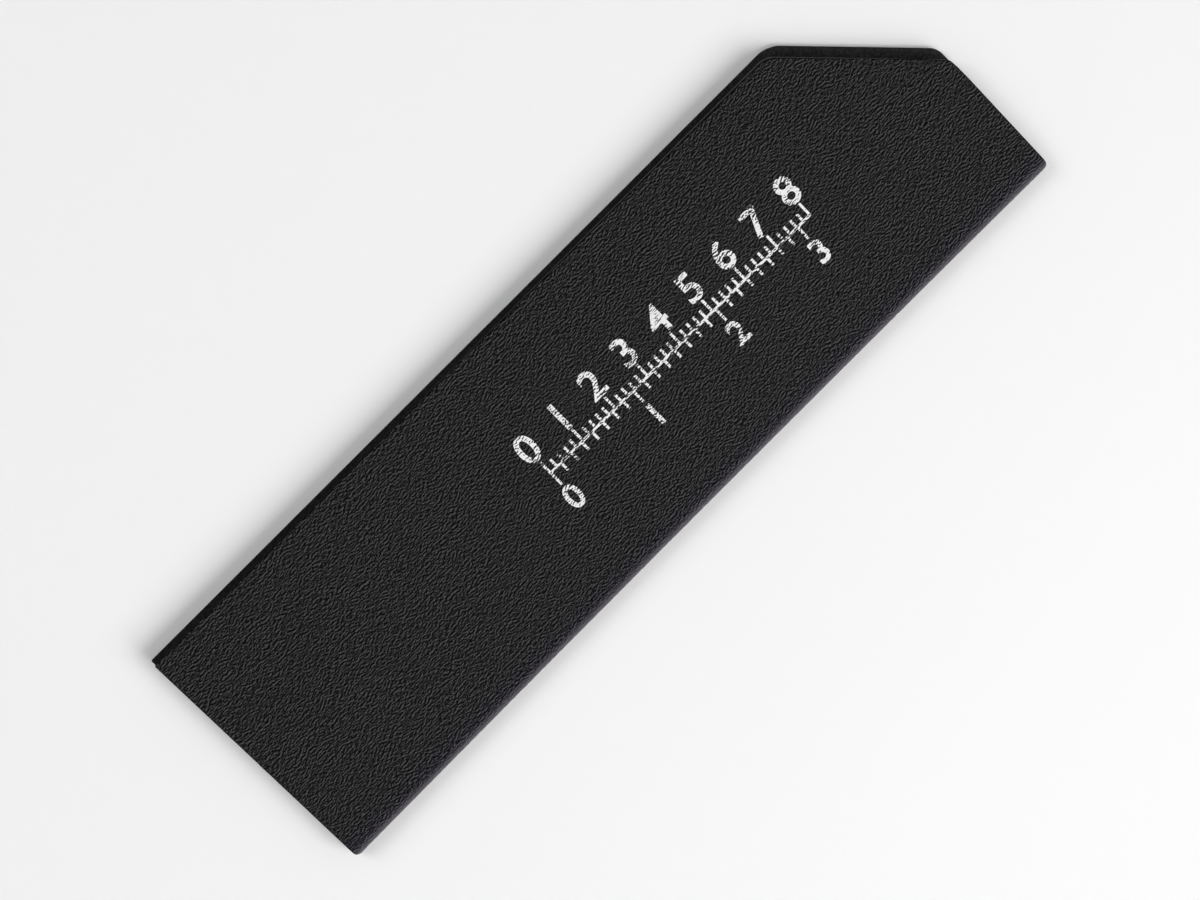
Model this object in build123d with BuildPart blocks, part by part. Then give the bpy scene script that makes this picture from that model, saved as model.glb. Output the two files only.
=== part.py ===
from build123d import *
from math import sqrt
import os

# Felt-lined knife blade guard: one plastic sheet folded over a felt lining. It is open along one
# long side and at both ends, and the corner between the open side and the tip is notched.
# The guard lies on its back panel. X runs from the mouth to the tip, Y from the fold to the open
# side, and Z up through the front face. The origin is below the middle of the guard.
# The sheet and its lining bend at the fold, so each is a flat half and a quarter ring on each side
# of the fold's middle. The back halves and the front halves part there as the guard opens.

# Overall size of the closed guard
guard_length = 216.0
guard_width = 62.5

# Layers, from the outside in
sheet = 1.2
glue = 0.1
felt = 0.8
slot_gap = 1.0  # air between the two felt faces, where the blade slides in

# Die-cut outline of the back panel
notch_leg = 26.6  # how far the 45 degree notch reaches along each side
notch_open_radius = 6.5  # corner between the open side and the notch
notch_tip_radius = 4.0  # corner between the notch and the tip
sharp_corner_radius = 0.6  # corners at the mouth, and between the front panel's notch and its tip

# The back panel laps out beyond the front panel
open_lap = 0.8
notch_lap = 2.1

# The lining stops short of the front panel's edges, and the glue stops short of the felt's
felt_inset = 0.5
glue_inset = 0.3

# Rounding that cutting and bending leave
fold_end_radius = 1.2  # the bend draws the fold's two ends in
edge_roll_share = 0.25  # die-cut edges roll over by this share of the sheet

# Sizes that follow
half_height = sheet + glue + felt + slot_gap / 2
guard_height = 2 * half_height
fold_y = -guard_width / 2 + half_height  # the flat halves end and the fold begins here
edge_roll = sheet * edge_roll_share
lining_end_inset = felt_inset + glue_inset
front_open_radius = notch_open_radius - (open_lap + notch_lap) / 2
felt_open_radius = front_open_radius - felt_inset
glue_open_radius = felt_open_radius - glue_inset

# Radii of the layers round the fold
glue_radius = half_height - sheet
felt_radius = glue_radius - glue
felt_face_radius = felt_radius - felt

# Heights at which the layers begin
back_glue_height = sheet
back_felt_height = sheet + glue
front_felt_height = guard_height - sheet - glue - felt
front_glue_height = guard_height - sheet - glue
front_sheet_height = guard_height - sheet

# Angles at which the fold's two quarters begin
back_quarter = 180
front_quarter = 90

# Insets of each flat layer from the back panel's ends, open side and notch
back_insets = (0, 0, 0)
front_insets = (0, open_lap, notch_lap)
felt_insets = (felt_inset, open_lap + felt_inset, notch_lap + felt_inset)
glue_insets = tuple(inset + glue_inset for inset in felt_insets)

# Radii of each flat layer at the notch's open end, at its tip end and at the mouth
back_radii = (notch_open_radius, notch_tip_radius, sharp_corner_radius)
front_radii = (front_open_radius, sharp_corner_radius, sharp_corner_radius)
felt_radii = (felt_open_radius, sharp_corner_radius, sharp_corner_radius)
glue_radii = (glue_open_radius, sharp_corner_radius, sharp_corner_radius)

os.makedirs("parts", exist_ok=True)


def flat_outline(height, insets, radii):
    """Outline of a flat layer that lies at a height, from the fold to the open side."""
    end_inset, open_inset, notch_inset = insets
    open_radius, tip_radius, mouth_radius = radii
    mouth_x = -guard_length / 2 + end_inset
    tip_x = guard_length / 2 - end_inset
    open_y = guard_width / 2 - open_inset
    # On the notch, x and y add up to this
    notch_sum = guard_length / 2 + guard_width / 2 - notch_leg - notch_inset * sqrt(2)
    with BuildSketch(Plane.XY.offset(height)) as outline:
        with BuildLine():
            Polyline(
                (mouth_x, fold_y),
                (tip_x, fold_y),
                (tip_x, notch_sum - tip_x),
                (notch_sum - open_y, open_y),
                (mouth_x, open_y),
                close=True,
            )
        make_face()
        fillet(outline.vertices().group_by(Axis.X)[-1].sort_by(Axis.Y)[-1], tip_radius)
        fillet(outline.vertices().group_by(Axis.Y)[-1].sort_by(Axis.X)[-1], open_radius)
        fillet(outline.vertices().group_by(Axis.Y)[-1].sort_by(Axis.X)[0], mouth_radius)
    return outline.sketch


def fold_section(end_inset, outer_radius, inner_radius, start_angle):
    """Quarter ring about the fold's centre line, at the mouth end of its layer."""
    with BuildSketch(Plane.YZ.offset(-guard_length / 2 + end_inset)) as section:
        with BuildLine():
            outer = CenterArc((fold_y, half_height), outer_radius, start_angle, 90)
            inner = CenterArc((fold_y, half_height), inner_radius, start_angle, 90)
            Line(outer @ 0, inner @ 0)
            Line(outer @ 1, inner @ 1)
        make_face()
    return section.sketch


def fold_plan():
    """Plan of the fold seen from above, with its two ends drawn in round."""
    with BuildSketch(Plane.XY) as plan:
        with Locations((0, -guard_width / 2)):
            Rectangle(guard_length, half_height, align=(Align.CENTER, Align.MIN))
        fillet(plan.vertices().group_by(Axis.Y)[0], fold_end_radius)
    return plan.sketch


# Outer sheet's back panel, its lower cut edges rolled over
with BuildPart() as back_panel:
    extrude(flat_outline(0, back_insets, back_radii), sheet)
    fillet(back_panel.faces().sort_by(Axis.Z)[0].edges().sort_by(Axis.Y)[1:], edge_roll)
back_panel.part.label = "back_panel"
export_step(back_panel.part, "parts/back_panel.step")

# Outer sheet's front panel, its upper cut edges rolled over
with BuildPart() as front_panel:
    extrude(flat_outline(front_sheet_height, front_insets, front_radii), sheet)
    fillet(front_panel.faces().sort_by(Axis.Z)[-1].edges().sort_by(Axis.Y)[1:], edge_roll)
front_panel.part.label = "front_panel"
export_step(front_panel.part, "parts/front_panel.step")

# Outer sheet's fold, back quarter
with BuildPart() as fold_back_half:
    extrude(fold_section(0, half_height, glue_radius, back_quarter), guard_length)
    extrude(fold_plan(), guard_height, mode=Mode.INTERSECT)
fold_back_half.part.label = "fold_back_half"
export_step(fold_back_half.part, "parts/fold_back_half.step")

# Outer sheet's fold, front quarter
with BuildPart() as fold_front_half:
    extrude(fold_section(0, half_height, glue_radius, front_quarter), guard_length)
    extrude(fold_plan(), guard_height, mode=Mode.INTERSECT)
fold_front_half.part.label = "fold_front_half"
export_step(fold_front_half.part, "parts/fold_front_half.step")

# Felt on the back panel
with BuildPart() as back_felt:
    extrude(flat_outline(back_felt_height, felt_insets, felt_radii), felt)
back_felt.part.label = "back_felt"
export_step(back_felt.part, "parts/back_felt.step")

# Felt under the front panel
with BuildPart() as front_felt:
    extrude(flat_outline(front_felt_height, felt_insets, felt_radii), felt)
front_felt.part.label = "front_felt"
export_step(front_felt.part, "parts/front_felt.step")

# Felt in the fold, back quarter
with BuildPart() as fold_felt_back:
    extrude(
        fold_section(felt_inset, felt_radius, felt_face_radius, back_quarter),
        guard_length - 2 * felt_inset,
    )
fold_felt_back.part.label = "fold_felt_back"
export_step(fold_felt_back.part, "parts/fold_felt_back.step")

# Felt in the fold, front quarter
with BuildPart() as fold_felt_front:
    extrude(
        fold_section(felt_inset, felt_radius, felt_face_radius, front_quarter),
        guard_length - 2 * felt_inset,
    )
fold_felt_front.part.label = "fold_felt_front"
export_step(fold_felt_front.part, "parts/fold_felt_front.step")

# Adhesive film behind the back felt and its quarter of the fold
with BuildPart() as back_adhesive:
    extrude(flat_outline(back_glue_height, glue_insets, glue_radii), glue)
    extrude(
        fold_section(lining_end_inset, glue_radius, felt_radius, back_quarter),
        guard_length - 2 * lining_end_inset,
    )
back_adhesive.part.label = "back_adhesive"
export_step(back_adhesive.part, "parts/back_adhesive.step")

# Adhesive film behind the front felt and its quarter of the fold
with BuildPart() as front_adhesive:
    extrude(flat_outline(front_glue_height, glue_insets, glue_radii), glue)
    extrude(
        fold_section(lining_end_inset, glue_radius, felt_radius, front_quarter),
        guard_length - 2 * lining_end_inset,
    )
front_adhesive.part.label = "front_adhesive"
export_step(front_adhesive.part, "parts/front_adhesive.step")
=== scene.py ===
"""Dresses the felt-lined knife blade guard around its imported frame.

The guard is one plastic sheet, cut flat, embossed with a haircell grain and heat-bent over a felt
lining. Each layer is made here the same way: a flat blank is cut out, its edges are rolled over,
and the blank is folded about the guard's fold line. X runs from the mouth to the tip, Y from the
fold to the open side and Z up through the front face, in metres. The finishes count in millimetres.
"""

import logging
import math
import random
from dataclasses import dataclass, field
from enum import Enum

import bmesh
import bpy
from mathutils import Matrix, Vector, noise


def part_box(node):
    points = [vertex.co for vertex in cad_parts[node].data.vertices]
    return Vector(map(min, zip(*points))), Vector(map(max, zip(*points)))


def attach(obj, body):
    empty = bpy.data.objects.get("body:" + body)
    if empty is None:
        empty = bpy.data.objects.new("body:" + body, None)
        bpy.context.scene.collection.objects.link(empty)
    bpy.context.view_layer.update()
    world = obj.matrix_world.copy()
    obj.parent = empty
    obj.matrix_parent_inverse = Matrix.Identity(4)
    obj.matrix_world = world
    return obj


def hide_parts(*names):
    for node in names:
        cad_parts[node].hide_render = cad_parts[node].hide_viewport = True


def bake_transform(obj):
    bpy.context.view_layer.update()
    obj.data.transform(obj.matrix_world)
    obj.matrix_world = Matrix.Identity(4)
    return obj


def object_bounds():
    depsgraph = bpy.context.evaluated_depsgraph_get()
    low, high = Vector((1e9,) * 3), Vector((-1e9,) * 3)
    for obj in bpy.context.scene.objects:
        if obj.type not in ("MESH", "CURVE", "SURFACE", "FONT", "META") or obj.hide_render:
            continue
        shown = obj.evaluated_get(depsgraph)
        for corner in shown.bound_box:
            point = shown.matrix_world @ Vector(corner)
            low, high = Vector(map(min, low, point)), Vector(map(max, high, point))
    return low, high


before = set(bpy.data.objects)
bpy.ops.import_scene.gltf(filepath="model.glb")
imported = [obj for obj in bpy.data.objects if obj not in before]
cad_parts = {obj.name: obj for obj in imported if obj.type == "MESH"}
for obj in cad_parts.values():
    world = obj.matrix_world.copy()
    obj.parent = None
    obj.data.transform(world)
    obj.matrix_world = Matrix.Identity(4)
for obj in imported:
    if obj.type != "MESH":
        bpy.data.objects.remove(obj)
CAD_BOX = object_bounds()

MM = 0.001
CM = 10 * MM
INCH = 25.4 * MM
TOUCH = 1e-7  # points that are closer than this are one
ROUND = 0.5  # profile of a bevel that is an arc
MIDDLE = 0.5  # of a share, and of a noise's values
COARSE = 0.6  # share that each octave of a harsher noise keeps
BLANK_PLACE = "blank_place"  # vertex attribute: where a point lies on its flat blank, in metres

log = logging.getLogger("blade_guard")

Socket = bpy.types.NodeSocket
Value = float | tuple[float, ...] | Socket
Triple = tuple[float, float, float]
Span = tuple[float, float]

FULL: Span = (0.0, 1.0)
WIDE: Span = (0.3, 0.7)  # where nearly all of a noise's values lie
CORE: Span = (0.35, 0.65)  # where most of them lie
COLOUR_MIX = (0, 6, 7, 2)  # a Mix node's sockets for colours: share, first, second and result


class Body(Enum):
    """The two flaps that the frame moves."""

    BACK = "back_flap"
    FRONT = "front_flap"


class Slot(Enum):
    """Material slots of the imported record."""

    SHEET = "outer_sheet"
    FELT = "felt_lining"
    ADHESIVE = "adhesive_film"


class Face(Enum):
    """Kinds of face on a folded layer, in the order of its materials."""

    OUTER = 0
    INNER = 1
    RIM = 2


class NodeGraph:
    """A material's nodes, with short ways to add them and to join them."""

    def __init__(self, name: str) -> None:
        """Starts a material with a Principled surface.

        Args:
            name: The material's name.
        """
        self.material = bpy.data.materials.new(name)
        self.material.use_nodes = True
        self.nodes = self.material.node_tree.nodes
        self.nodes.clear()
        self.surface = self.add("ShaderNodeBsdfPrincipled")
        self.output = self.add("ShaderNodeOutputMaterial", {"Surface": self.surface.outputs["BSDF"]})

    def add(
        self, kind: str, inputs: dict[str | int, Value] | None = None, **settings: object
    ) -> bpy.types.Node:
        """Adds a node.

        Args:
            kind: The node's type name.
            inputs: Values or sockets for the node's inputs, by name or number.
            settings: The node's own properties.

        Returns:
            The node.
        """
        node = self.nodes.new(kind)
        for setting, value in settings.items():
            setattr(node, setting, value)
        self.feed(node, inputs or {})
        return node

    def feed(self, node: bpy.types.Node, inputs: dict[str | int, Value]) -> None:
        """Sets a node's inputs to values, or joins sockets to them.

        Args:
            node: The node.
            inputs: Values or sockets, by the input's name or number.
        """
        for key, value in inputs.items():
            if isinstance(value, Socket):
                self.material.node_tree.links.new(value, node.inputs[key])
            else:
                node.inputs[key].default_value = value

    def math(self, operation: str, *values: Value) -> Socket:
        """Adds a Math node that works on the values, and returns its result."""
        node = self.add("ShaderNodeMath", dict(enumerate(values)), operation=operation)
        return node.outputs[0]

    def vector(self, operation: str, *values: Value) -> Socket:
        """Adds a Vector Math node that works on the values, and returns its vector."""
        node = self.add("ShaderNodeVectorMath", dict(enumerate(values)), operation=operation)
        return node.outputs[0]

    def noise(
        self, place: Value, size: float, detail: float = 2.0, roughness: float = 0.5, output: str = "Fac"
    ) -> Socket:
        """Returns a noise with features of a size: one value, or three for the output Color."""
        inputs = {"Vector": place, "Scale": 1 / size, "Detail": detail, "Roughness": roughness}
        return self.add("ShaderNodeTexNoise", inputs).outputs[output]

    def remap(self, value: Value, source: Span, target: Span = FULL) -> Socket:
        """Remaps a value smoothly from one range to another, and clamps it.

        Args:
            value: The value.
            source: Start and end of its range.
            target: What they become.

        Returns:
            The remapped value.
        """
        inputs = {"Value": value, "From Min": source[0], "From Max": source[1]}
        inputs |= {"To Min": target[0], "To Max": target[1]}
        return self.add("ShaderNodeMapRange", inputs, interpolation_type="SMOOTHSTEP").outputs[0]

    def blend(self, share: Value, first: Value, second: Value) -> Socket:
        """Blends two colours.

        Args:
            share: How much of the second colour shows, from 0 to 1.
            first: The first colour.
            second: The second colour.

        Returns:
            The colour between them.
        """
        share_input, *colour_inputs, colour_output = COLOUR_MIX
        inputs = {share_input: share} | dict(zip(colour_inputs, (first, second)))
        return self.add("ShaderNodeMix", inputs, data_type="RGBA").outputs[colour_output]

    def bump(self, height: Value, depth: float, under: Socket | None = None) -> Socket:
        """Bends the normal by a height.

        Args:
            height: Height from 0 to 1.
            depth: What a height of 1 stands for, in metres.
            under: The normal of a coarser bump, if there is one.

        Returns:
            The bent normal.
        """
        node = self.add("ShaderNodeBump", {"Height": height, "Distance": depth, "Strength": 1.0})
        if under is not None:
            self.feed(node, {"Normal": under})
        return node.outputs[0]

    def split(self, value: Socket) -> list[Socket]:
        """Returns the x, y and z of a vector."""
        return list(self.add("ShaderNodeSeparateXYZ", {0: value}).outputs)

    def length(self, value: Socket) -> Socket:
        """Returns the length of a vector."""
        return self.add("ShaderNodeVectorMath", {0: value}, operation="LENGTH").outputs["Value"]

    def finish(
        self, base: Value, roughness: Value, normal: Socket | None = None,
        levels: dict[str, float] | None = None,
    ) -> bpy.types.Material:
        """Feeds the Principled surface.

        Args:
            base: Its colour.
            roughness: Its roughness.
            normal: The normal that its bumps give, if it has any.
            levels: Constants for its other inputs, by name.

        Returns:
            The finished material.
        """
        self.feed(self.surface, {"Base Color": base, "Roughness": roughness} | (levels or {}))
        if normal is not None:
            self.feed(self.surface, {"Normal": normal})
        return self.material

    def mix_surface(self, share: Value, other: Socket) -> None:
        """Mixes a share of another shader over the Principled surface."""
        mixed = self.add("ShaderNodeMixShader", {0: share, 1: self.surface.outputs["BSDF"], 2: other})
        self.feed(self.output, {"Surface": mixed.outputs[0]})

    def place_on_blank(self) -> Socket:
        """Returns the place on the flat blank, in millimetres."""
        place = self.add("ShaderNodeAttribute", attribute_name=BLANK_PLACE).outputs["Vector"]
        return self.vector("MULTIPLY", place, (1 / MM,) * 3)

    def place_on_object(self) -> Socket:
        """Returns the Object coordinates, in millimetres."""
        place = self.add("ShaderNodeTexCoord").outputs["Object"]
        return self.vector("MULTIPLY", place, (1 / MM,) * 3)


def grey(level: float, tint: Triple = (1.0, 1.0, 1.0)) -> tuple[float, float, float, float]:
    """Returns a linear colour of one level, from 0 to 1, with factors for its slight tint."""
    red, green, blue = tint
    return (level * red, level * green, level * blue, 1.0)


def smooth_step(share: float) -> float:
    """Returns a share eased at both ends and kept from 0 to 1."""
    share = max(0.0, min(1.0, share))
    return share * share * (3 - 2 * share)


def mesh_of(name: str, bm: bmesh.types.BMesh) -> bpy.types.Mesh:
    """Makes a mesh of what a BMesh holds, and frees that.

    Args:
        name: The mesh's name.
        bm: The BMesh.

    Returns:
        The mesh.
    """
    mesh = bpy.data.meshes.new(name)
    bm.to_mesh(mesh)
    bm.free()
    return mesh


def put_in_scene(name: str, data: bpy.types.ID) -> bpy.types.Object:
    """Puts a new object in the scene.

    Args:
        name: Its name.
        data: Its mesh, lamp or camera.

    Returns:
        The object.
    """
    made = bpy.data.objects.new(name, data)
    bpy.context.scene.collection.objects.link(made)
    return made


@dataclass(frozen=True)
class HaircellGrain:
    """The haircell grain embossed in the sheet's flat blank: short wandering ridges along the guard."""

    along: float = 0.86  # size of a ridge along the guard
    across: float = 0.4
    detail: float = 2.0
    drift_pitch: float = 4.5
    drift_along: float = 0.48  # how far the ridges wander along the guard
    drift_across: float = 1.2
    flank: float = 0.29  # how far apart a ridge's two flanks are
    # strength of the painted light and shade on the flanks
    contrast: float = 3.7
    depth: float = 0.12

    def place(self, graph: NodeGraph) -> Socket:
        """Bends the places on the blank, so that the ridges wander.

        Args:
            graph: The material that it is for.

        Returns:
            The bent place.
        """
        place = graph.place_on_blank()
        drift = graph.noise(place, self.drift_pitch, detail=1.0, output="Color")
        drift = graph.vector("SUBTRACT", drift, (MIDDLE,) * 3)
        drift = graph.vector("MULTIPLY", drift, (self.drift_along, self.drift_across, 0.0))
        return graph.vector("ADD", place, drift)

    def height(self, graph: NodeGraph, place: Socket, offset: float = 0.0) -> Socket:
        """Reads the grain's height.

        Args:
            graph: The material that it is for.
            place: The bent place on the blank.
            offset: How far across the guard from there it is read.

        Returns:
            The height, from 0 to 1.
        """
        place = graph.vector("ADD", place, (0.0, offset, 0.0))
        place = graph.vector("MULTIPLY", place, (1 / self.along, 1 / self.across, 0.0))
        return graph.noise(place, size=1.0, detail=self.detail)

    def painted_light(self, graph: NodeGraph, place: Socket) -> Socket:
        """Works out the grain's painted light: its flanks turned towards the fold, where the key lamp stands,
        are painted pale.

        Args:
            graph: The material that it is for.
            place: The bent place on the blank.

        Returns:
            The painted light, from 0 to 1.
        """
        # Painted light: the height, read a little towards the open side and towards the fold, tells which
        # flanks face the key lamp.
        rubbed = self.height(graph, place, self.flank / 2)
        fold_side_height = self.height(graph, place, -self.flank / 2)
        rise = graph.math("SUBTRACT", rubbed, fold_side_height)
        share = graph.math("MULTIPLY_ADD", rise, self.contrast, MIDDLE)
        return graph.add("ShaderNodeClamp", {0: share}).outputs[0]


@dataclass(frozen=True)
class GrainedPlastic:
    """The sheet's embossed outer face: black plastic with painted light on its grain and a painted highlight
    at the fold.

    Lengths are on the flat blank. A pair of them is where something starts and where it shows in full.
    """

    name: str = "haircell_black_plastic"
    grain: HaircellGrain = field(default_factory=HaircellGrain)
    # Painted shade and painted light: levels of the flanks turned away from and towards the key lamp.
    shaded_flank_level: float = 0.0002
    lit_flank_level: float = 0.053
    light_falloff: float = 2.0  # how fast the painted light on a flank fades away from its brightest line
    speck_size: float = 0.24  # dust and scuffs between the ridges
    speck: float = 0.5
    # A violet tint near the fold.
    fold_tint: Triple = (1.06, 1.0, 1.28)
    tinted: Span = (9.0, 2.0)  # distances from the fold's middle
    highlight_shaded_level: float = 0.056  # painted highlight along the fold, which stands in for its reflection of the floor: its levels
    highlight_lit_level: float = 0.118
    highlight_tint: Triple = (1.09, 1.0, 1.18)
    bent: Span = (3.7, 1.5)  # distances from the fold's middle
    rolled: Span = (1.215, 1.18)  # heights where an edge rolls over from the skin, which is at 1.2
    ragged: float = 0.03  # how much further down that edge the ridges keep their colour
    rolled_shade_share: float = 0.12  # how much of its colour the skin keeps there, under a painted shade that hides the rolled edge's highlight
    rolled_roughness: float = 0.4  # how much rougher it is there
    roughness: Span = (0.5, 0.55)
    cloud_size: float = 22.0  # size of the rougher patches
    fine_size: float = 0.16  # the mould's fine texture on top of the grain
    fine_depth: float = 0.004
    sheen_level: float = 0.07

    def material(self) -> bpy.types.Material:
        """Mixes the finish.

        Returns:
            Its material.
        """
        graph = NodeGraph(self.name)
        grain_place = self.grain.place(graph)
        height = self.grain.height(graph, grain_place)
        painted_light = self.grain.painted_light(graph, grain_place)
        flank_light = graph.math("POWER", painted_light, self.light_falloff)
        place = graph.place_on_blank()
        _, across, rise = graph.split(place)
        # Painted light and shade on the grain's flanks.
        base = graph.blend(flank_light, grey(self.shaded_flank_level), grey(self.lit_flank_level))
        speck = graph.noise(place, self.speck_size, detail=0.0)
        base = graph.vector("MULTIPLY", base, graph.remap(speck, WIDE, (1 - self.speck, 1 + self.speck)))
        # Painted shade on the rolled edge, which hides its highlight; the roughness there is the edge's own.
        rolled = graph.remap(graph.math("MULTIPLY_ADD", painted_light, self.ragged, rise), self.rolled)
        base = graph.blend(rolled, base, graph.vector("MULTIPLY", base, (self.rolled_shade_share,) * 3))
        from_fold = graph.math("ABSOLUTE", across)
        tinted = graph.remap(from_fold, self.tinted)
        base = graph.blend(tinted, base, graph.vector("MULTIPLY", base, self.fold_tint))
        # Painted highlight along the fold.
        highlight_levels = [grey(level, self.highlight_tint) for level in (self.highlight_shaded_level, self.highlight_lit_level)]
        base = graph.blend(graph.remap(from_fold, self.bent), base, graph.blend(flank_light, *highlight_levels))
        cloud = graph.remap(graph.noise(place, self.cloud_size, detail=3.0, roughness=COARSE), WIDE)
        rough = graph.remap(cloud, FULL, self.roughness)
        rough = graph.math("MULTIPLY_ADD", rolled, self.rolled_roughness, rough)
        normal = graph.bump(graph.noise(place, self.fine_size, roughness=COARSE), self.fine_depth * MM)
        normal = graph.bump(height, self.grain.depth * MM, normal)
        return graph.finish(base, rough, normal, {"Specular IOR Level": self.sheen_level})


@dataclass(frozen=True)
class SmoothPlastic:
    """The sheet's ungrained inner face, which shows where the back panel laps out."""

    name: str = "smooth_black_plastic"
    # Painted light: the levels are raised against the front panel's shade, and rise from the mouth to the
    # tip.
    mouth_level: float = 0.0105
    tip_level: float = 0.0165
    tip_x: float = 100.0  # where it reaches the tip's level
    cloud_size: float = 9.0
    roughness: Span = (0.45, 0.575)
    mottle_size: float = 0.7
    mottle: Span = (0.55, 1.35)  # factors of its level
    lay: Triple = (0.3, 2.2, 2.2)  # marks of rolling, in marks to the millimetre each way
    lay_depth: float = 0.006
    sheen_level: float = 0.16

    def material(self) -> bpy.types.Material:
        """Mixes the finish.

        Returns:
            Its material.
        """
        graph = NodeGraph(self.name)
        place = graph.place_on_object()
        # Painted light, paler towards the tip.
        lit_towards_tip = graph.remap(graph.split(place)[0], (-self.tip_x, self.tip_x))
        level = graph.blend(lit_towards_tip, grey(self.mouth_level), grey(self.tip_level))
        mottle = graph.remap(graph.noise(place, self.mottle_size, roughness=COARSE), CORE)
        base = graph.vector("MULTIPLY", level, graph.remap(mottle, FULL, self.mottle))
        cloud = graph.remap(graph.noise(place, self.cloud_size, detail=3.0), WIDE)
        rough = graph.remap(cloud, FULL, self.roughness)
        lay = graph.noise(graph.vector("MULTIPLY", place, self.lay), size=1.0)
        normal = graph.bump(lay, self.lay_depth * MM)
        return graph.finish(base, rough, normal, {"Specular IOR Level": self.sheen_level})


@dataclass(frozen=True)
class CutEdge:
    """The sheet's die-cut rim, rubbed a little paler and smoother by use."""

    name: str = "die_cut_edge"
    level: float = 0.003
    rubbed: float = 0.012
    rub_size: float = 3.5  # size of a rubbed stretch
    rub_octaves: float = 0.65  # share that each octave of it keeps
    rub: Span = (0.45, 0.75)
    roughness: Span = (0.95, 0.8)
    drag: Triple = (3.0, 3.0, 0.8)  # the die's drag lines, in lines to the millimetre each way
    drag_depth: float = 0.03
    sheen_level: float = 0.04

    def material(self) -> bpy.types.Material:
        """Mixes the finish.

        Returns:
            Its material.
        """
        graph = NodeGraph(self.name)
        place = graph.place_on_object()
        rub = graph.remap(graph.noise(place, self.rub_size, detail=4.0, roughness=self.rub_octaves), self.rub)
        base = graph.blend(rub, grey(self.level), grey(self.rubbed))
        rough = graph.remap(rub, FULL, self.roughness)
        drag = graph.noise(graph.vector("MULTIPLY", place, self.drag), size=1.0, detail=3.0)
        normal = graph.bump(drag, self.drag_depth * MM)
        return graph.finish(base, rough, normal, {"Specular IOR Level": self.sheen_level})


@dataclass(frozen=True)
class NeedledFelt:
    """Black needled felt: matted fibres that lie every way."""

    name: str = "needled_black_felt"
    level: float = 0.009
    lint: float = 0.035
    bend_size: float = 1.3
    bend: float = 0.8  # how far a fibre strays from its line
    lengthwise: float = 1.3  # fibres to the millimetre along a fibre, and across it
    crosswise: float = 8.0
    matted: Span = (0.42, 0.72)
    mat_depth: float = 0.06
    clump_size: float = 2.6  # size of the felt's lumps
    clump_depth: float = 0.12
    roughness: float = 0.95
    fuzz: float = 0.25  # sheen of the finest fibres
    fuzz_roughness: float = 0.5

    def material(self) -> bpy.types.Material:
        """Mixes the finish.

        Returns:
            Its material.
        """
        graph = NodeGraph(self.name)
        place = graph.place_on_object()
        bend = graph.noise(place, self.bend_size, detail=1.0, output="Color")
        bent = graph.vector("ADD", place, graph.vector("MULTIPLY", bend, (self.bend,) * 3))
        ways = (
            (self.lengthwise, self.crosswise, self.crosswise),
            (self.crosswise, self.lengthwise, self.crosswise),
        )
        fibres = [graph.noise(graph.vector("MULTIPLY", bent, way), size=1.0) for way in ways]
        mat = graph.remap(graph.math("MAXIMUM", *fibres), self.matted)
        base = graph.blend(mat, grey(self.level), grey(self.lint))
        normal = graph.bump(graph.noise(place, self.clump_size), self.clump_depth * MM)
        normal = graph.bump(mat, self.mat_depth * MM, normal)
        sheen = {"Sheen Weight": self.fuzz, "Sheen Roughness": self.fuzz_roughness}
        return graph.finish(base, self.roughness, normal, sheen)


@dataclass(frozen=True)
class LooseFibre:
    """Single felt fibres: dull, with painted highlights that make some paler, as where they catch the light.
    """

    name: str = "loose_felt_fibre"
    darkest: float = 0.012
    palest: float = 0.05
    size: float = 0.35
    roughness: float = 0.8

    def material(self) -> bpy.types.Material:
        """Mixes the finish.

        Returns:
            Its material.
        """
        graph = NodeGraph(self.name)
        pick = graph.remap(graph.noise(graph.place_on_object(), self.size, detail=1.0), CORE)
        base = graph.blend(pick, grey(self.darkest), grey(self.palest))
        return graph.finish(base, self.roughness)


@dataclass(frozen=True)
class TackyFilm:
    """The adhesive film: a dull, slightly yellow skin with small air bubbles."""

    name: str = "tacky_adhesive"
    film: Triple = (0.05, 0.045, 0.035)
    bubble: Triple = (0.11, 0.1, 0.08)
    bubble_pitch: float = 1.25
    bubble_radius: Span = (0.3, 0.12)
    bubble_depth: float = 0.03
    roughness: float = 0.35

    def material(self) -> bpy.types.Material:
        """Mixes the finish.

        Returns:
            Its material.
        """
        graph = NodeGraph(self.name)
        inputs = {"Vector": graph.place_on_object(), "Scale": 1 / self.bubble_pitch}
        bubbles = graph.add("ShaderNodeTexVoronoi", inputs).outputs["Distance"]
        trapped = graph.remap(bubbles, self.bubble_radius)
        base = graph.blend(trapped, (*self.film, 1.0), (*self.bubble, 1.0))
        normal = graph.bump(trapped, self.bubble_depth * MM)
        return graph.finish(base, self.roughness, normal)


@dataclass(frozen=True)
class WornFoil:
    """White foil stamped on the grain, which holds on the ridges and has gone from the grooves."""

    name: str = "worn_white_foil"
    grain: HaircellGrain = field(default_factory=HaircellGrain)
    foil: float = 0.86
    bare: float = 0.004
    patch_size: float = 3.0  # size of the patches that have worn more than others
    patch: float = 2.8  # how much a patch counts beside the grain
    held: Span = (0.22, 0.46)
    roughness: Span = (0.55, 0.42)
    filled: float = 0.8  # how much of the grain's depth is left under the foil

    def material(self) -> bpy.types.Material:
        """Mixes the finish.

        Returns:
            Its material.
        """
        graph = NodeGraph(self.name)
        grain_place = self.grain.place(graph)
        height = self.grain.height(graph, grain_place)
        painted_light = self.grain.painted_light(graph, grain_place)
        patch = graph.noise(graph.place_on_blank(), self.patch_size, detail=3.0, roughness=COARSE)
        wear = graph.math("MULTIPLY", graph.math("SUBTRACT", patch, MIDDLE), self.patch)
        held = graph.remap(graph.math("ADD", painted_light, wear), self.held)
        base = graph.blend(held, grey(self.bare), grey(self.foil))
        rough = graph.remap(held, FULL, self.roughness)
        normal = graph.bump(height, self.grain.depth * self.filled * MM)
        return graph.finish(base, rough, normal)


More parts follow.
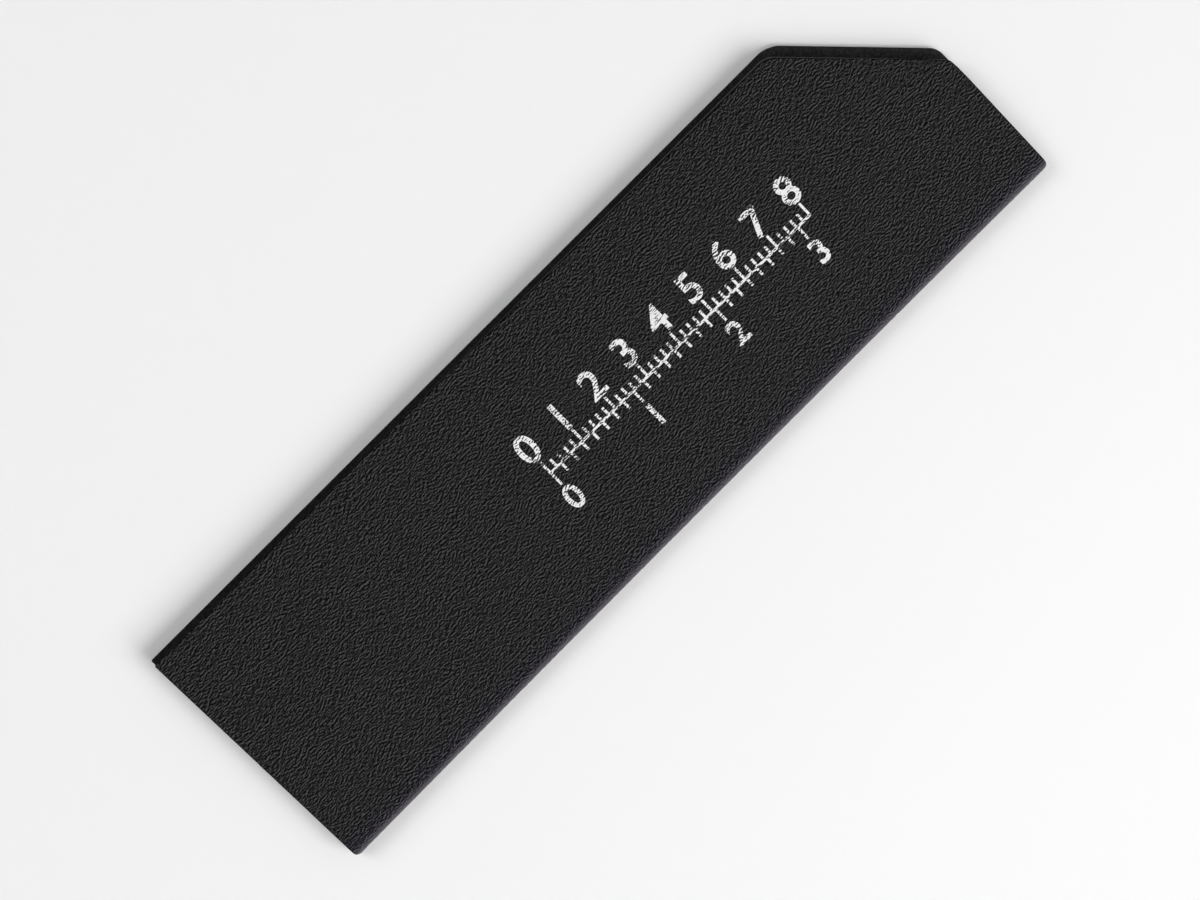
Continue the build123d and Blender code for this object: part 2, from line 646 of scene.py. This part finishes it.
@dataclass(frozen=True)
class FlatOutline:
    """Plan of one flat half of a layer, in metres."""

    mouth_x: float
    tip_x: float
    open_y: float
    notch_sum: float  # x + y anywhere on the notch
    open_radius: float
    tip_radius: float = 0.6 * MM
    mouth_radius: float = 0.6 * MM

    @classmethod
    def of_node(cls, node: str, trim: tuple[float, float] = (0.0, 0.0), **radii: float) -> "FlatOutline":
        """Reads the plan of a packed flat half.

        Args:
            node: The node's name.
            trim: How much the die took off its open side and off its notch.
            radii: Radii of its corners, by field name.

        Returns:
            The plan.
        """
        low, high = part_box(node)
        open_trim, notch_trim = trim
        notch_sum = max(v.co.x + v.co.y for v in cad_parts[node].data.vertices)
        return cls(low.x, high.x, high.y - open_trim, notch_sum - notch_trim * math.sqrt(2), **radii)

    def corners(self, start_y: float) -> list[tuple[float, float, float]]:
        """Lists the corners from the tip end to the mouth end.

        Args:
            start_y: Where y is counted from.

        Returns:
            The x, y and radius of each.
        """
        places = [
            (self.tip_x, self.notch_sum - self.tip_x, self.tip_radius),
            (self.notch_sum - self.open_y, self.open_y, self.open_radius),
            (self.mouth_x, self.open_y, self.mouth_radius),
        ]
        return [(x, y - start_y, radius) for x, y, radius in places]


@dataclass(frozen=True)
class FoldShape:
    """How every layer bends at the fold, and how the bent guard has settled, in metres."""

    fold_y: float
    half_height: float
    length: float
    width: float
    waist: float = 0.4 * MM  # how far the fold is drawn in halfway along
    end_radius: float = 1.2 * MM  # how round the bend has drawn the fold's ends
    end_reach: float = 9.0 * MM  # how far along the guard that reaches
    slack: float = 0.09 * MM  # how far the flaps have sunk towards each other
    skew: float = 0.36 * MM  # how far in the front flap's free edge lies at the tip
    mouth_skew_share: float = 0.4  # by what share of that it lies out at the mouth
    shortening: float = 0.0037  # by what share the front flap is shorter than the back
    eased: float = 0.32 * MM  # how far handling has drawn in the front flap's corner at the tip
    eased_reach: float = 4.5 * MM
    notch_tip_y: float = 1.68 * MM  # where the front flap's notch meets its tip end
    notch_turn: float = 0.03  # how far the front flap's notch is turned from the back's
    notch_middle: float = 13.3 * MM  # how far the middle of the notch is from the open side
    notch_from_share: float = 0.6  # where the notch begins, as a share of half the length
    middle_share: float = 0.19  # share of the half height that belongs to neither flap
    stiff_share: float = 0.6  # how much less the flaps have sunk at their ends
    ripple_share: float = 0.4  # how much of the sinking comes and goes along the flaps
    ripple_length: float = 31 * MM
    ripple_width: float = 19 * MM

    @classmethod
    def of_frame(cls) -> "FoldShape":
        """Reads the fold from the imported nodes.

        Returns:
            The fold's shape.
        """
        low, high = CAD_BOX
        panel_low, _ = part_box("back_panel")
        return cls(panel_low.y, (low.z + high.z) / 2, high.x - low.x, high.y - low.y)

    def bend(self, flat: Vector, inner_radius: float, half_arc: float) -> Vector:
        """Bends a point of a flat blank round the fold.

        Args:
            flat: The point: x along the guard, y across the blank from the fold's middle, z its height.
            inner_radius: The radius to which height 0 is bent.
            half_arc: How far from the fold's middle the blank is bent.

        Returns:
            The point on the folded layer.
        """
        radius = inner_radius + flat.z
        turn = max(-1.0, min(1.0, flat.y / half_arc)) * math.pi / 2
        beyond = max(abs(flat.y) - half_arc, 0.0)
        y = self.fold_y - radius * math.cos(turn) + beyond
        return Vector((flat.x, y, self.half_height + radius * math.sin(turn)))

    def settle(self, point: Vector) -> Vector:
        """Moves a point of the folded guard to where cooling and use have left it.

        Args:
            point: The point on the true folded shape.

        Returns:
            The point, moved by a fraction of a millimetre, inwards.
        """
        along = 2 * point.x / self.length
        across = (point.y + self.width / 2) / self.width
        rise = (point.z - self.half_height) / self.half_height
        front = smooth_step(rise + MIDDLE)
        side = max(-1.0, min(1.0, rise / self.middle_share))
        x = point.x * (1 - self.shortening * front) - self.draw_in(point) - self.corner_ease(point) * front
        y = point.y + self.waist * (1 - along * along) * (1 - across)
        y -= self.skew * along * across * front * (1 if along > 0 else self.mouth_skew_share)
        at_notch = smooth_step((along - self.notch_from_share) / (1 - self.notch_from_share))
        y += self.notch_turn * (self.width / 2 - point.y - self.notch_middle) * at_notch * front * across
        sunk = self.slack * (1 - along * along * self.stiff_share) * math.sin(math.pi * min(1.0, across)) ** 2
        wave = noise.noise(Vector((point.x / self.ripple_length, point.y / self.ripple_width, side)))
        z = point.z - side * sunk * (1 - self.ripple_share * (1 - wave) / 2)
        return Vector((x, y, z))

    def corner_ease(self, point: Vector) -> float:
        """Returns how far the front flap is drawn in along x, near the notch's tip corner."""
        distance = math.hypot(self.length / 2 - point.x, min(0.0, point.y - self.notch_tip_y))
        return self.eased * smooth_step(1 - distance / self.eased_reach)

    def draw_in(self, point: Vector) -> float:
        """Works out how far the fold's end is drawn in along x.

        Args:
            point: The point on the true folded shape.

        Returns:
            How far the point moves.
        """
        from_apex = point.y + self.width / 2
        if from_apex >= self.end_radius:
            return 0.0
        gap = self.end_radius - from_apex
        shift = self.end_radius - math.sqrt(max(self.end_radius**2 - gap**2, 0.0))
        near = smooth_step(1 - (self.length / 2 - abs(point.x)) / self.end_reach)
        return math.copysign(shift * near, point.x)


@dataclass
class FoldedLayer:
    """One layer of the guard: a flat blank, cut out and folded in half."""

    name: str
    slot: Slot
    replaced: tuple[str, ...]
    back: FlatOutline
    front: FlatOutline
    shape: FoldShape
    inner_radius: float
    thickness: float
    outer_roll: float
    inner_roll: float
    pitch: float = 4.0 * MM
    fold_steps: int = 36
    corner_steps: int = 10
    outer_steps: int = 4
    inner_steps: int = 2
    rim_slope: float = 0.35  # faces that are steeper than this belong to the rim
    give: float = 0.4 * MM  # half the height over which the fold gives
    fold_cuts: int = 0  # how many times each strip is cut again along the fold
    relief: float = 0.0  # how deep the grain cuts into the outer face at the fold
    relief_along: float = 1.1 * MM  # size of a lump along the guard
    relief_across: float = 0.6 * MM
    relief_fade: float = 1.2 * MM  # how far from the flat it reaches its full depth

    def __post_init__(self) -> None:
        """Works out how far from the fold's middle the blank is bent."""
        self.half_arc = math.pi / 2 * (self.inner_radius + self.thickness)
        self.flat_area = 0.0

    def build(self, materials: list[bpy.types.Material]) -> bpy.types.Object:
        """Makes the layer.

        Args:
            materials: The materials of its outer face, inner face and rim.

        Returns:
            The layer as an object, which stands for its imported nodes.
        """
        bm = self.cut_blank()
        self.roll_edges(bm)
        self.divide(bm)
        self.mark_faces(bm)
        self.fold(bm)
        mesh = mesh_of(self.name, bm)
        for material in materials:
            mesh.materials.append(material)
        piece = put_in_scene(self.name, mesh)
        piece.modifiers.new("even_shading", "WEIGHTED_NORMAL").keep_sharp = True
        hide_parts(*self.replaced)
        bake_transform(piece)
        log.info("%s: %d faces, stands for %s", self.name, len(mesh.polygons), ", ".join(self.replaced))
        return piece

    def cut_blank(self) -> bmesh.types.BMesh:
        """Cuts out the flat blank, with its corners rounded.

        Returns:
            The blank as a solid.
        """
        bm = bmesh.new()
        start_y = self.shape.fold_y
        front = [(x, self.half_arc + y, r) for x, y, r in self.front.corners(start_y)]
        back = [(x, -self.half_arc - y, r) for x, y, r in reversed(self.back.corners(start_y))]
        outline = front + back
        corners = [bm.verts.new((x, y, 0.0)) for x, y, _ in outline]
        bm.faces.new(corners)
        turns = self.corner_turns([Vector((x, y)) for x, y, _ in outline])
        for corner, (_, _, radius), turn in zip(corners, outline, turns):
            bmesh.ops.bevel(
                bm, geom=[corner], offset=radius * math.tan(turn / 2), offset_type="OFFSET",
                segments=self.corner_steps, profile=ROUND, affect="VERTICES", material=-1,
            )
        self.flat_area = sum(face.calc_area() for face in bm.faces)
        raised = bmesh.ops.extrude_face_region(bm, geom=bm.faces[:])["geom"]
        raised = [item for item in raised if isinstance(item, bmesh.types.BMVert)]
        bmesh.ops.translate(bm, verts=raised, vec=(0, 0, self.thickness))
        bmesh.ops.recalc_face_normals(bm, faces=bm.faces[:])
        return bm

    @staticmethod
    def corner_turns(outline: list[Vector]) -> list[float]:
        """Measures how a closed outline turns.

        Args:
            outline: Its corners in order.

        Returns:
            The angle through which it turns at each.
        """
        turns = []
        for index, corner in enumerate(outline):
            arrive = corner - outline[index - 1]
            leave = outline[(index + 1) % len(outline)] - corner
            turns.append(arrive.angle(leave))
        return turns

    def roll_edges(self, bm: bmesh.types.BMesh) -> None:
        """Rounds the blank's outer and inner edges.

        Args:
            bm: The blank.
        """
        outer = (self.thickness, self.outer_roll, self.outer_steps)
        inner = (0.0, self.inner_roll, self.inner_steps)
        for height, roll, steps in (outer, inner):
            if roll > 0:
                edges = [e for e in bm.edges if all(abs(v.co.z - height) < TOUCH for v in e.verts)]
                bmesh.ops.bevel(
                    bm, geom=edges, offset=roll, offset_type="OFFSET", segments=steps, profile=ROUND,
                    affect="EDGES", material=-1,
                )

    def divide(self, bm: bmesh.types.BMesh) -> None:
        """Cuts the blank's faces into a grid, narrow across the fold.

        Args:
            bm: The blank.
        """
        low, high = self.back.mouth_x, self.back.tip_x
        columns = round((high - low) / self.pitch)
        for step in range(1, columns):
            self.cut(bm, Vector((low + (high - low) * step / columns, 0, 0)), Vector((1, 0, 0)))
        for step in range(self.fold_steps + 1):
            y = self.half_arc * (2 * step / self.fold_steps - 1)
            self.cut(bm, Vector((0, y, 0)), Vector((0, 1, 0)))
        if self.fold_cuts:
            bmesh.ops.subdivide_edges(
                bm, edges=[edge for edge in bm.edges if self.runs_along_fold(edge)],
                cuts=self.fold_cuts, use_grid_fill=True,
            )
        for reach, side in ((self.front.open_y, 1), (self.back.open_y, -1)):
            rows = round((reach - self.shape.fold_y) / self.pitch)
            for step in range(1, rows):
                y = self.half_arc + (reach - self.shape.fold_y) * step / rows
                self.cut(bm, Vector((0, side * y, 0)), Vector((0, 1, 0)))

    def runs_along_fold(self, edge: bmesh.types.BMEdge) -> bool:
        """Tells whether an edge of the blank runs along the fold, within the bend."""
        start, end = (vert.co for vert in edge.verts)
        return abs(start.y - end.y) < TOUCH < abs(start.x - end.x) and abs(start.y) < self.half_arc + TOUCH

    @staticmethod
    def cut(bm: bmesh.types.BMesh, place: Vector, normal: Vector) -> None:
        """Cuts all faces along the plane through a place with a normal."""
        geom = bm.verts[:] + bm.edges[:] + bm.faces[:]
        bmesh.ops.bisect_plane(bm, geom=geom, dist=TOUCH, plane_co=place, plane_no=normal)

    def mark_faces(self, bm: bmesh.types.BMesh) -> None:
        """Gives each face its kind, and each vertex its place on the blank.

        Args:
            bm: The blank.
        """
        place = bm.verts.layers.float_vector.new(BLANK_PLACE)
        for vert in bm.verts:
            vert[place] = vert.co
        bm.normal_update()
        for face in bm.faces:
            if face.normal.z > self.rim_slope:
                face.material_index = Face.OUTER.value
            elif face.normal.z < -self.rim_slope:
                face.material_index = Face.INNER.value
            else:
                face.material_index = Face.RIM.value
            face.smooth = True

    def fold(self, bm: bmesh.types.BMesh) -> None:
        """Folds the blank in half about the fold.

        Args:
            bm: The blank.
        """
        for vert in bm.verts:
            folded = self.shape.bend(vert.co, self.inner_radius, self.half_arc)
            vert.co = self.shape.settle(folded)
        if self.relief:
            self.emboss(bm)

    def emboss(self, bm: bmesh.types.BMesh) -> None:
        """Sinks the grain's grooves into the outer face of the fold.

        Args:
            bm: The folded layer.
        """
        bm.normal_update()
        place = bm.verts.layers.float_vector[BLANK_PLACE]
        for vert in bm.verts:
            x, y, height = vert[place]
            if height > self.thickness - self.outer_roll and abs(y) < self.half_arc - TOUCH:
                fade = smooth_step((self.half_arc - abs(y)) / self.relief_fade)
                lump = noise.noise(Vector((x / self.relief_along, y / self.relief_across, 0)))
                vert.co -= vert.normal * self.relief * fade * smooth_step(lump + MIDDLE)


@dataclass
class FeltNap:
    """Loose fibres that stand out of the felt's cut edge on one flap."""

    name: str
    body: Body
    lining: bpy.types.Object
    low: float  # the fibres' roots lie between these heights
    high: float
    seed: int
    fibres: int = 1400
    shortest: float = 0.14 * MM
    longest: float = 0.42 * MM
    half_width: float = 0.014 * MM
    root: float = 0.1 * MM  # how deep a fibre starts in the felt
    corner_share: float = 0.01  # least share that a corner of the felt has in a fibre's place
    splay: float = 0.7  # how far a fibre leans away from square
    flatness: float = 0.5  # how much of its lean up or down it keeps
    curl: float = 0.6
    bends: int = 3
    taper: float = 0.2  # how much thinner each bend leaves it

    def build(self, material: bpy.types.Material) -> bpy.types.Object:
        """Makes the fibres.

        Args:
            material: Their finish.

        Returns:
            All the fibres as one object that rides on the flap.
        """
        chance = random.Random(self.seed)
        rims = [face for face in self.lining.data.polygons if self.is_rim(face)]
        curve = bpy.data.curves.new(self.name, "CURVE")
        curve.dimensions = "3D"
        curve.bevel_depth = self.half_width
        curve.bevel_resolution = 0
        curve.use_fill_caps = True
        for face in chance.choices(rims, [face.area for face in rims], k=self.fibres):
            self.fibre(curve, face, chance)
        strands = bpy.data.objects.new(self.name, curve)
        mesh = bpy.data.meshes.new_from_object(strands)
        bpy.data.objects.remove(strands)
        bpy.data.curves.remove(curve)
        mesh.name = self.name
        mesh.materials.clear()
        mesh.materials.append(material)
        piece = put_in_scene(self.name, mesh)
        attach(piece, self.body.value)
        log.info("%s: %d fibres, rides on %s", self.name, self.fibres, self.body.value)
        return piece

    def is_rim(self, face: bpy.types.MeshPolygon) -> bool:
        """Tells whether a face of the felt is on its cut edge, between the two heights."""
        heights = [self.lining.data.vertices[index].co.z for index in face.vertices]
        return face.material_index == Face.RIM.value and self.low < min(heights) and max(heights) < self.high

    def fibre(self, curve: bpy.types.Curve, face: bpy.types.MeshPolygon, chance: random.Random) -> None:
        """Adds one curling fibre.

        Args:
            curve: What it is added to.
            face: The face that it grows from.
            chance: Where its random values come from.
        """
        corners = [self.lining.data.vertices[index].co for index in face.vertices]
        shares = [chance.random() ** 2 + self.corner_share for _ in corners]
        start = sum((corner * share for corner, share in zip(corners, shares)), Vector()) / sum(shares)
        heading = face.normal + Vector([chance.uniform(-self.splay, self.splay) for _ in range(3)])
        heading.z *= self.flatness
        curl = Vector([chance.uniform(-self.curl, self.curl) for _ in range(3)])
        length = chance.uniform(self.shortest, self.longest)
        spline = curve.splines.new("POLY")
        spline.points.add(self.bends)
        place = start - face.normal * self.root
        for index, point in enumerate(spline.points):
            point.co = (*place, 1.0)
            point.radius = 1.0 - self.taper * index
            step = self.root if index == 0 else length / self.bends
            way = face.normal if index == 0 else (heading + curl * (index - 1)).normalized()
            place = place + way * step


@dataclass
class FoilScale:
    """A plain measuring scale, foil-stamped on the front panel: centimetres above, inches below."""

    sheet: FoldedLayer
    name: str = "foil_scale"
    start_x: float = -18 * MM  # where its zeros are
    start_y: float = -1.2 * MM
    thickness: float = 0.02 * MM
    centimetres: int = 8
    centimetre_parts: int = 5
    centimetre_figure: float = 7.0 * MM  # height of its numbers
    inches: int = 3
    inch_parts: int = 8
    inch_figure: float = 5.8 * MM
    long_stroke: float = 3.2 * MM
    short_stroke: float = 1.9 * MM
    number_gap: float = 0.9 * MM
    line: float = 0.62 * MM  # width of its strokes
    cap_share: float = 0.73  # height of a number in the size of its type
    bolder: float = 0.16 * MM  # by how much its numbers are set heavier than plain type
    cut_pitch: float = 2.5 * MM  # how closely it is cut so that it can follow the panel

    def build(self, material: bpy.types.Material) -> bpy.types.Object:
        """Makes the printed scale.

        Args:
            material: Its foil.

        Returns:
            The scale as one object that rides on the front flap.
        """
        bm = bmesh.new()
        self.rule(bm, self.centimetres, CM, self.centimetre_parts, self.centimetre_figure, 1)
        self.rule(bm, self.inches, INCH, self.inch_parts, self.inch_figure, -1)
        self.bar(bm, Vector((0, 0, 0)), Vector((self.centimetres * CM, 0, 0)))
        self.lay_down(bm)
        mesh = mesh_of(self.name, bm)
        mesh.materials.append(material)
        piece = put_in_scene(self.name, mesh)
        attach(piece, Body.FRONT.value)
        log.info("%s: %d faces on the front panel", self.name, len(mesh.polygons))
        return piece

    def rule(
        self, bm: bmesh.types.BMesh, count: int, unit: float, parts: int, figure: float, side: int
    ) -> None:
        """Draws one row of strokes and numbers on a side of the base line.

        Args:
            bm: The mesh to draw in.
            count: How many units the row has.
            unit: The length of one.
            parts: Into how many parts each is divided.
            figure: Height of the numbers.
            side: 1 above the base line and -1 below it.
        """
        for step in range(count * parts + 1):
            x = unit * step / parts
            reach = self.long_stroke if step % parts == 0 else self.short_stroke
            self.bar(bm, Vector((x, 0, 0)), Vector((x, side * reach, 0)))
        for number in range(count + 1):
            y = side * (self.long_stroke + self.number_gap)
            self.figure(bm, str(number), Vector((unit * number, y, 0)), figure, side)

    def bar(self, bm: bmesh.types.BMesh, start: Vector, end: Vector) -> None:
        """Draws a straight stroke.

        Args:
            bm: The mesh to draw in.
            start: Where the stroke starts.
            end: Where it ends.
        """
        along = end - start
        made = bmesh.ops.create_cube(bm, size=1.0)["verts"]
        size = Matrix.Diagonal((along.length + self.line, self.line, self.thickness, 1.0))
        turn = Matrix.Rotation(math.atan2(along.y, along.x), 4, "Z")
        bmesh.ops.transform(bm, matrix=Matrix.Translation((start + end) / 2) @ turn @ size, verts=made)

    def figure(self, bm: bmesh.types.BMesh, text: str, foot: Vector, height: float, side: int) -> None:
        """Draws a number.

        Args:
            bm: The mesh to draw in.
            text: The number.
            foot: The middle of its side next to the base line.
            height: How high it is.
            side: 1 above the base line and -1 below it.
        """
        curve = bpy.data.curves.new("figure", "FONT")
        curve.body = text
        curve.align_x = "CENTER"
        curve.align_y = "BOTTOM_BASELINE"
        curve.size = height / self.cap_share
        curve.extrude = self.thickness / 2
        curve.offset = self.bolder
        lettering = bpy.data.objects.new("figure", curve)
        mesh = bpy.data.meshes.new_from_object(lettering)
        drop = 0.0 if side > 0 else -height
        mesh.transform(Matrix.Translation(foot + Vector((0, drop, 0))))
        bm.from_mesh(mesh)
        bpy.data.objects.remove(lettering)
        bpy.data.curves.remove(curve)
        bpy.data.meshes.remove(mesh)

    def lay_down(self, bm: bmesh.types.BMesh) -> None:
        """Lays the flat drawing on the front panel's settled face.

        Args:
            bm: The drawing.
        """
        _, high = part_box("front_panel")
        for step in range(-1, round(self.centimetres * CM / self.cut_pitch) + 1):
            FoldedLayer.cut(bm, Vector((step * self.cut_pitch, 0, 0)), Vector((1, 0, 0)))
        place = bm.verts.layers.float_vector.new(BLANK_PLACE)
        half_arc, fold_y = self.sheet.half_arc, self.sheet.shape.fold_y
        for vert in bm.verts:
            flat = vert.co + Vector((self.start_x, self.start_y, 0))
            vert[place] = Vector((flat.x, half_arc + flat.y - fold_y, self.sheet.thickness))
            face = self.sheet.shape.settle(Vector((flat.x, flat.y, high.z)))
            vert.co = Vector((face.x, face.y, face.z + vert.co.z))


@dataclass(frozen=True)
class Softbox:
    """A square soft lamp that faces the guard."""

    name: str
    place: tuple[float, float, float]
    size: float
    power: float  # in watts


@dataclass
class Studio:
    """A plain pale floor and backdrop, soft lamps and the camera."""

    floor_radius: float = 3.0
    wall_height: float = 2.2
    wall_curve: float = 0.8
    wall_steps: int = 12
    round_steps: int = 96
    middle_radius: float = 0.02  # the floor's middle is one face
    seam: float = 1e-6  # points of the floor that are closer than this are one
    floor_level: float = 0.93
    floor_roughness: float = 0.9
    paper_level: float = 0.9  # the backdrop's own colour where no shading shows
    shaded_to: float = 0.13  # shading shows this far from the guard's middle, and fades out by the next
    unshaded_from: float = 0.32
    horizon_level: float = 0.58
    zenith_level: float = 0.12
    sky: Span = (0.45, 0.95)  # heights in the sky between which it goes from one to the other
    key: Softbox = Softbox("key_softbox", (0.25, -0.95, 0.8), 0.8, 13.0)
    fill: Softbox = Softbox("fill_softbox", (-0.45, 0.9, 0.9), 0.7, 6.0)
    lens_px: float = 2209.6  # focal length in pixels of the 1200 by 900 picture
    picture_px: float = 1200.0
    sensor: float = 36.0  # its width in millimetres
    distance: float = 484.1 * MM
    tilt: float = math.radians(8.5)
    lean: float = math.radians(-0.549)
    roll: float = math.radians(44.934)
    look_x: float = -6.79 * MM
    look_y: float = -5.44 * MM

    def build(self) -> None:
        """Makes the stage, the lamps and the camera."""
        self.camera()
        self.backdrop()
        self.light_sky()
        self.hang(self.key)
        self.hang(self.fill)

    def camera(self) -> None:
        """Places the camera as the photograph was taken."""
        back = Vector((
            math.sin(self.lean),
            math.sin(self.tilt) * math.cos(self.lean),
            math.cos(self.tilt) * math.cos(self.lean),
        ))
        level = Vector((0, 1, 0)).cross(back).normalized()
        upright = back.cross(level)
        right = math.cos(self.roll) * level - math.sin(self.roll) * upright
        up = math.sin(self.roll) * level + math.cos(self.roll) * upright
        low, high = CAD_BOX
        place = Vector((self.look_x, self.look_y, (low.z + high.z) / 2)) + back * self.distance
        data = bpy.data.cameras.new("camera")
        data.sensor_width = self.sensor
        data.lens = self.lens_px / self.picture_px * self.sensor
        data.clip_start = CM
        camera = put_in_scene("camera", data)
        camera.matrix_world = Matrix.Translation(place) @ Matrix((right, up, back)).transposed().to_4x4()
        bpy.context.scene.camera = camera

    def backdrop(self) -> None:
        """Makes the floor, which curves up into a round wall."""
        bm = bmesh.new()
        turn = self.floor_radius - self.wall_curve
        inner = bm.verts.new((self.middle_radius, 0, 0))
        edge = bm.verts.new((turn, 0, 0))
        bm.edges.new((inner, edge))
        arc = bmesh.ops.spin(
            bm, geom=[edge], cent=(turn, 0, self.wall_curve), axis=(0, -1, 0), angle=math.pi / 2,
            steps=self.wall_steps,
        )["geom_last"]
        top = [item for item in arc if isinstance(item, bmesh.types.BMVert)][0]
        raised = bm.verts.new((self.floor_radius, 0, self.wall_height))
        bm.edges.new((top, raised))
        bmesh.ops.spin(
            bm, geom=bm.verts[:] + bm.edges[:], cent=(0, 0, 0), axis=(0, 0, 1), angle=math.tau,
            steps=self.round_steps, use_merge=True,
        )
        bmesh.ops.remove_doubles(bm, verts=bm.verts[:], dist=self.seam)
        hole = [e for e in bm.edges if e.is_boundary and all(v.co.xy.length < turn for v in e.verts)]
        bmesh.ops.contextual_create(bm, geom=hole)
        bmesh.ops.recalc_face_normals(bm, faces=bm.faces[:])
        if sum(face.normal.z for face in bm.faces) < 0:
            bmesh.ops.reverse_faces(bm, faces=bm.faces[:])
        for face in bm.faces:
            face.smooth = True
        mesh = mesh_of("backdrop", bm)
        mesh.materials.append(self.pale_paper())
        put_in_scene("backdrop", mesh)

    def pale_paper(self) -> bpy.types.Material:
        """Mixes the backdrop's paper, which far from the guard shows its own colour, unshaded.

        Returns:
            Its material.
        """
        graph = NodeGraph("pale_backdrop")
        matte = {"Specular IOR Level": 0.0}
        paper = graph.finish(grey(self.floor_level), self.floor_roughness, levels=matte)
        seen = graph.add("ShaderNodeLightPath")
        ways = [seen.outputs[f"Is {way} Ray"] for way in ("Camera", "Glossy", "Transmission")]
        looked_at = graph.math("MAXIMUM", graph.math("MAXIMUM", ways[0], ways[1]), ways[2])
        distance = graph.length(graph.place_on_object())
        far = graph.remap(distance, (self.shaded_to / MM, self.unshaded_from / MM))
        plain = graph.add("ShaderNodeEmission", {"Color": grey(self.paper_level), "Strength": 1.0})
        graph.mix_surface(graph.math("MULTIPLY", looked_at, far), plain.outputs[0])
        return paper

    def light_sky(self) -> None:
        """Lights the stage evenly from all round, and less from straight above."""
        world = bpy.data.worlds.new("studio_sky")
        world.use_nodes = True
        nodes, links = world.node_tree.nodes, world.node_tree.links
        direction = nodes.new("ShaderNodeTexCoord")
        height = nodes.new("ShaderNodeSeparateXYZ")
        links.new(direction.outputs["Generated"], height.inputs[0])
        level = nodes.new("ShaderNodeMapRange")
        level.inputs["From Min"].default_value = self.sky[0]
        level.inputs["From Max"].default_value = self.sky[1]
        level.inputs["To Min"].default_value = self.horizon_level
        level.inputs["To Max"].default_value = self.zenith_level
        links.new(height.outputs["Z"], level.inputs["Value"])
        links.new(level.outputs[0], nodes["Background"].inputs["Strength"])
        nodes["Background"].inputs["Color"].default_value = grey(1.0)
        bpy.context.scene.world = world

    def hang(self, softbox: Softbox) -> None:
        """Hangs a softbox.

        Args:
            softbox: The lamp, which hangs where its place says and faces the guard.
        """
        data = bpy.data.lights.new(softbox.name, "AREA")
        data.shape = "SQUARE"
        data.size = softbox.size
        data.energy = softbox.power
        place = Vector(softbox.place)
        lamp = put_in_scene(softbox.name, data)
        lamp.matrix_world = Matrix.Translation(place) @ place.to_track_quat("Z", "Y").to_matrix().to_4x4()


def main() -> None:
    """Builds the guard's layers, its printed scale and the studio."""
    logging.basicConfig(level=logging.INFO, format="%(name)s %(message)s")
    bpy.context.scene.view_settings.view_transform = "Standard"
    Studio().build()
    shape = FoldShape.of_frame()
    _, sheet_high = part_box("back_panel")
    felt_low, felt_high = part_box("back_felt")
    sheet = FoldedLayer(
        name="folded_sheet",
        slot=Slot.SHEET,
        replaced=("back_panel", "fold_back_half", "fold_front_half", "front_panel"),
        back=FlatOutline.of_node(
            "back_panel", trim=(0.0, 0.15 * MM), open_radius=6.5 * MM, tip_radius=4.0 * MM,
            mouth_radius=0.25 * MM,
        ),
        front=FlatOutline.of_node(
            "front_panel", trim=(0.35 * MM, 0.5 * MM), open_radius=5.05 * MM, mouth_radius=0.35 * MM,
        ),
        shape=shape,
        inner_radius=shape.half_height - sheet_high.z,
        thickness=sheet_high.z,
        outer_roll=0.3 * MM,
        inner_roll=0.08 * MM,
        fold_cuts=7,
        relief=0.07 * MM,
    )
    sheet.build([GrainedPlastic().material(), SmoothPlastic().material(), CutEdge().material()])
    adhesive = FoldedLayer(
        name="adhesive_film",
        slot=Slot.ADHESIVE,
        replaced=("back_adhesive", "front_adhesive"),
        back=FlatOutline.of_node("back_adhesive", open_radius=4.25 * MM),
        front=FlatOutline.of_node("front_adhesive", open_radius=4.25 * MM),
        shape=shape,
        inner_radius=shape.half_height - felt_low.z,
        thickness=felt_low.z - sheet_high.z,
        outer_roll=0.0,
        inner_roll=0.0,
    )
    adhesive.build([TackyFilm().material()] * 3)
    felt = FoldedLayer(
        name="felt_lining",
        slot=Slot.FELT,
        replaced=("back_felt", "fold_felt_back", "fold_felt_front", "front_felt"),
        back=FlatOutline.of_node("back_felt", open_radius=4.55 * MM),
        front=FlatOutline.of_node("front_felt", open_radius=4.55 * MM),
        shape=shape,
        inner_radius=shape.half_height - felt_high.z,
        thickness=felt_high.z - felt_low.z,
        outer_roll=0.0,
        inner_roll=0.2 * MM,
        pitch=2.0 * MM,
        fold_steps=16,
    )
    lining = felt.build([NeedledFelt().material()] * 3)
    loose = LooseFibre().material()
    middle = shape.half_height
    slot_half = 0.45 * MM  # no fibre grows nearer to the middle of the slot
    leeway = 0.01 * MM  # the felt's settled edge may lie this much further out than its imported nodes
    felt_reach = middle - felt_low.z + leeway
    back_nap = FeltNap("back_nap", Body.BACK, lining, middle - felt_reach, middle - slot_half, seed=3)
    front_nap = FeltNap("front_nap", Body.FRONT, lining, middle + slot_half, middle + felt_reach, seed=8)
    back_nap.build(loose)
    front_nap.build(loose)
    FoilScale(sheet).build(WornFoil().material())


if __name__ == "__main__":
    main()
